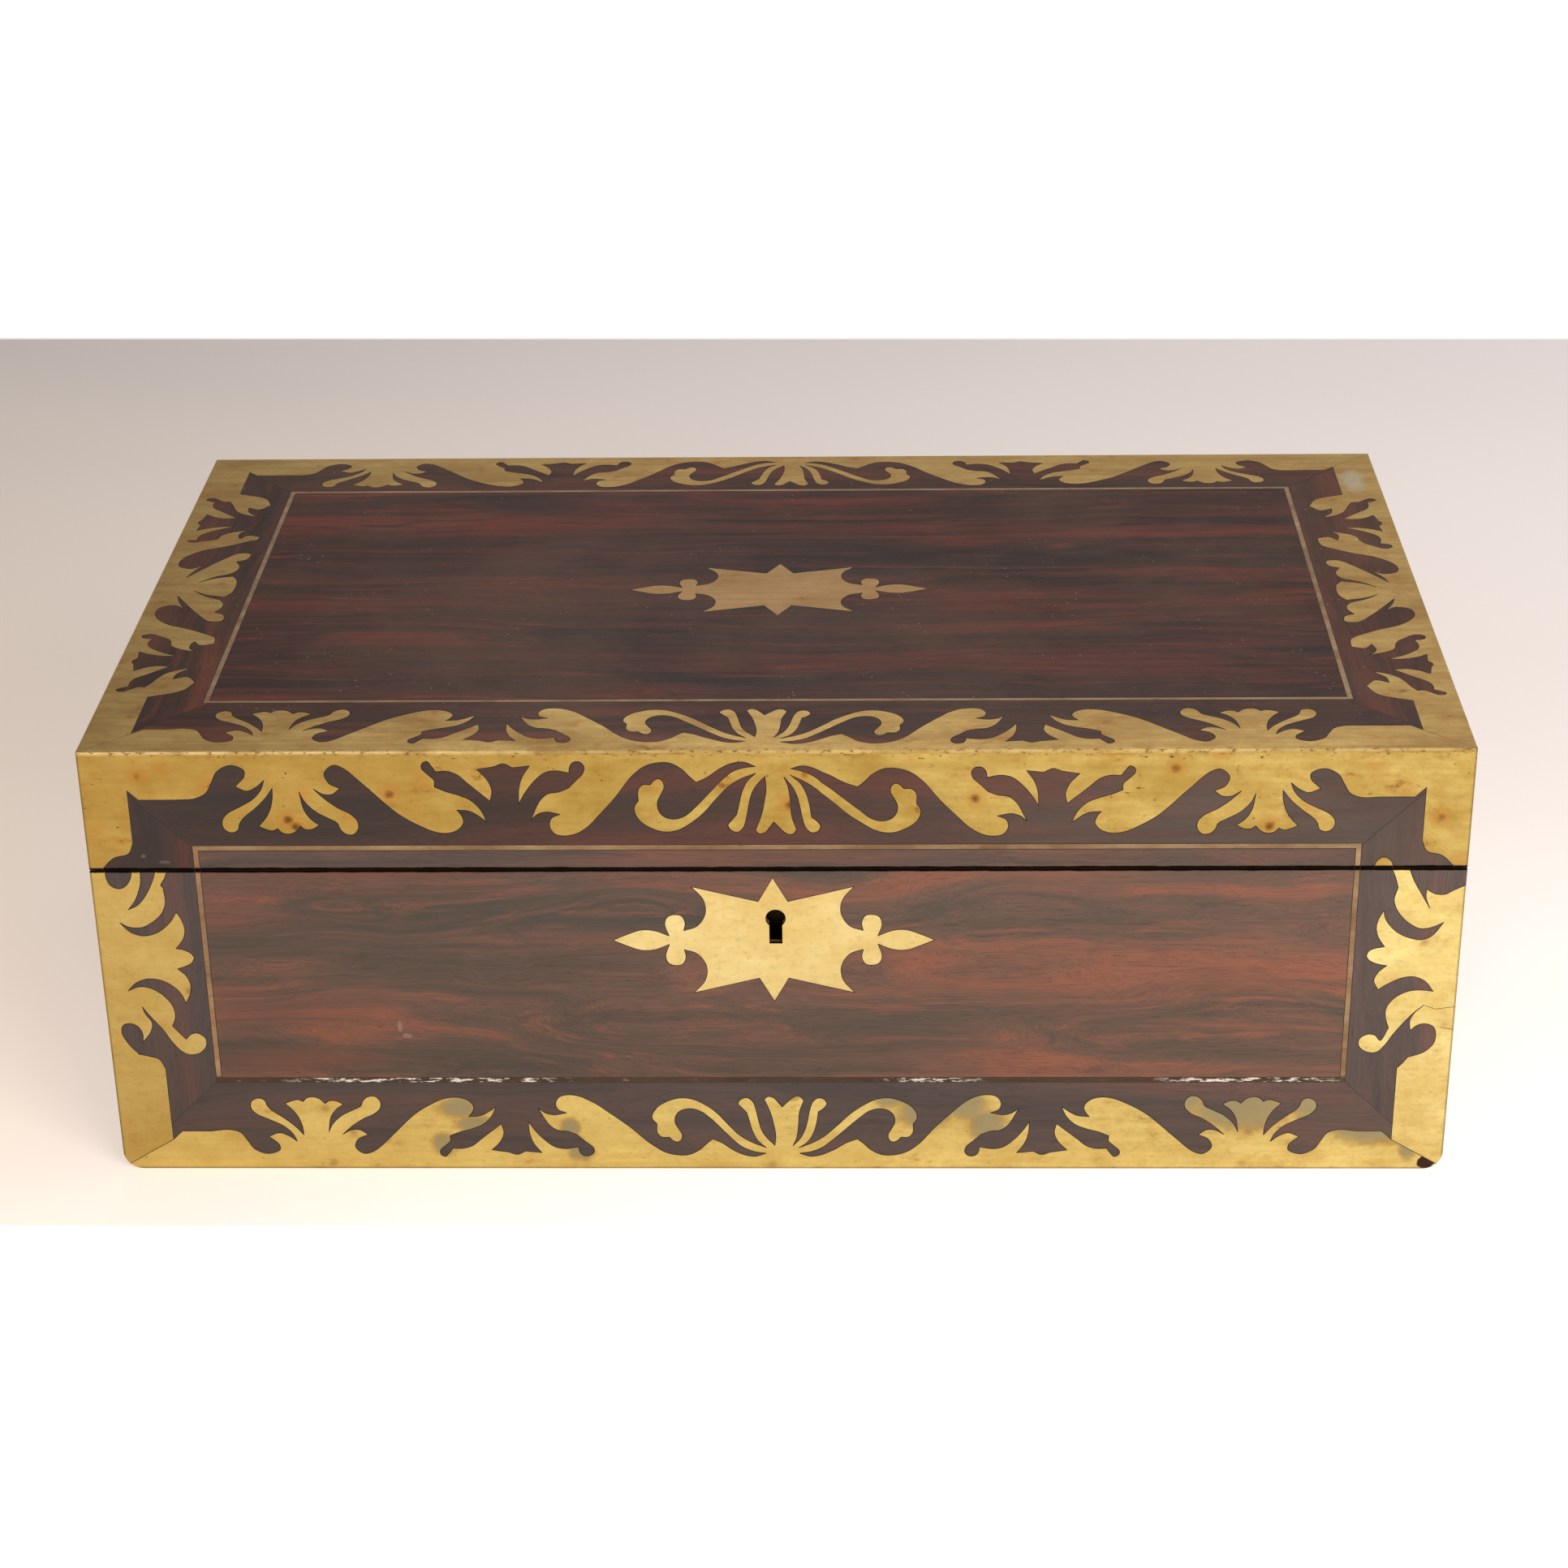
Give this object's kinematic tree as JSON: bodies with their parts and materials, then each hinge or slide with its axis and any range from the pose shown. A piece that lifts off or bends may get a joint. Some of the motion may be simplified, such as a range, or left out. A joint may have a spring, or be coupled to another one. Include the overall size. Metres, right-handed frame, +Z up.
{
  "type": "writing slope",
  "caption": "Rosewood writing box with scrolling brass inlay that opens on its back hinges into one long leather-lined writing slope, with a pen tray, ink bottles and a lock.",
  "frame": {"origin": "middle of the underside of the closed box, on the surface it stands on", "axes": "+X along the length, to the right seen from the lock side; +Y from the lock side to the hinges; +Z up"},
  "size_m": [0.405, 0.2389, 0.143],
  "materials": {
    "rosewood": "french polished, worn",
    "carcass": "bare",
    "mahogany": "waxed",
    "brass": "aged",
    "steel": "plain",
    "leather": "matt",
    "glass": "polished"
  },
  "bodies": {
    "base": {"base_back_board": "carcass", "base_back_veneer": "rosewood", "base_bottom_board": "carcass", "base_flap_hinge_fixed_leaves": "brass", "base_flap_ledges": "mahogany", "base_front_board": "carcass", "base_front_border": "brass", "base_front_stringing": "brass", "base_front_upright_left": "brass", "base_front_upright_right": "brass", "base_front_veneer": "rosewood", "base_hinge_leaves": "brass", "base_left_board": "carcass", "base_left_veneer": "rosewood", "base_right_board": "carcass", "base_right_veneer": "rosewood", "hinge_pins": "brass", "ink_bottles": "glass", "ink_well_partitions": "mahogany", "keyhole_escutcheon": "brass", "lock_case": "brass", "pen_partition": "mahogany", "pen_section_bearers": "mahogany", "pen_tray": "mahogany"},
    "lid": {"lid_back_board": "carcass", "lid_back_veneer": "rosewood", "lid_flap_hinge_fixed_leaves": "brass", "lid_flap_ledges": "mahogany", "lid_front_board": "carcass", "lid_front_border": "brass", "lid_front_corner_left": "brass", "lid_front_corner_right": "brass", "lid_front_rail": "mahogany", "lid_front_stringing": "brass", "lid_front_veneer": "rosewood", "lid_hinge_leaves": "brass", "lid_left_board": "carcass", "lid_left_veneer": "rosewood", "lid_right_board": "carcass", "lid_right_veneer": "rosewood", "lid_top_board": "carcass", "top_border_back": "brass", "top_border_front": "brass", "top_border_left": "brass", "top_border_right": "brass", "top_stringing": "brass", "top_veneer": "rosewood", "name_plate": "brass", "lock_link_plate": "brass"},
    "base_flap": {"base_flap_panel": "carcass", "base_flap_leather": "leather", "base_flap_hinge_moving_leaves": "brass"},
    "lid_flap": {"lid_flap_panel": "carcass", "lid_flap_leather": "leather", "lid_flap_hinge_moving_leaves": "brass"},
    "lock_bolt": {"lock_bolt": "steel"},
    "lid_flap_catch": {"lid_flap_catch": "brass"},
    "ink_cap_left": {"ink_cap_left": "brass"},
    "ink_cap_right": {"ink_cap_right": "brass"}
  },
  "joints": [
    {"name": "lid_hinge", "type": "hinge", "parent": "base", "child": "lid", "pos_m": [0, 0.11833, 0.07171], "axis": [-1, 0, 0], "range_deg": [0, 180]},
    {"name": "base_flap_hinge", "type": "hinge", "parent": "base", "child": "base_flap", "pos_m": [0, 0.09693, 0.07314], "axis": [-1, 0, 0], "range_deg": [0, 79.2]},
    {"name": "lid_flap_hinge", "type": "hinge", "parent": "lid", "child": "lid_flap", "pos_m": [0, 0.09734, 0.07611], "axis": [1, 0, 0], "range_deg": [0, 79.2]},
    {"name": "lock_bolt_slide", "type": "slide", "parent": "base", "child": "lock_bolt", "axis": [1, 0, 0], "range_m": [0, 0.004]},
    {"name": "lid_flap_catch_turn", "type": "hinge", "parent": "lid", "child": "lid_flap_catch", "pos_m": [0, -0.09846, 0.10222], "axis": [0, 0.1364, 0.9907], "range_deg": [0, 90]},
    {"name": "ink_cap_left_turn", "type": "hinge", "parent": "base", "child": "ink_cap_left", "pos_m": [-0.1723, -0.0834, 0.08494], "axis": [0, 0, 1], "range_deg": [0, 360]},
    {"name": "ink_cap_right_turn", "type": "hinge", "parent": "base", "child": "ink_cap_right", "pos_m": [0.1723, -0.0834, 0.08494], "axis": [0, 0, 1], "range_deg": [0, 360]}
  ],
  "couplings": [
    {"joint": "base_flap_hinge", "follows": "lid_hinge", "ratio": 0.44},
    {"joint": "lid_flap_hinge", "follows": "lid_hinge", "ratio": 0.44}
  ]
}
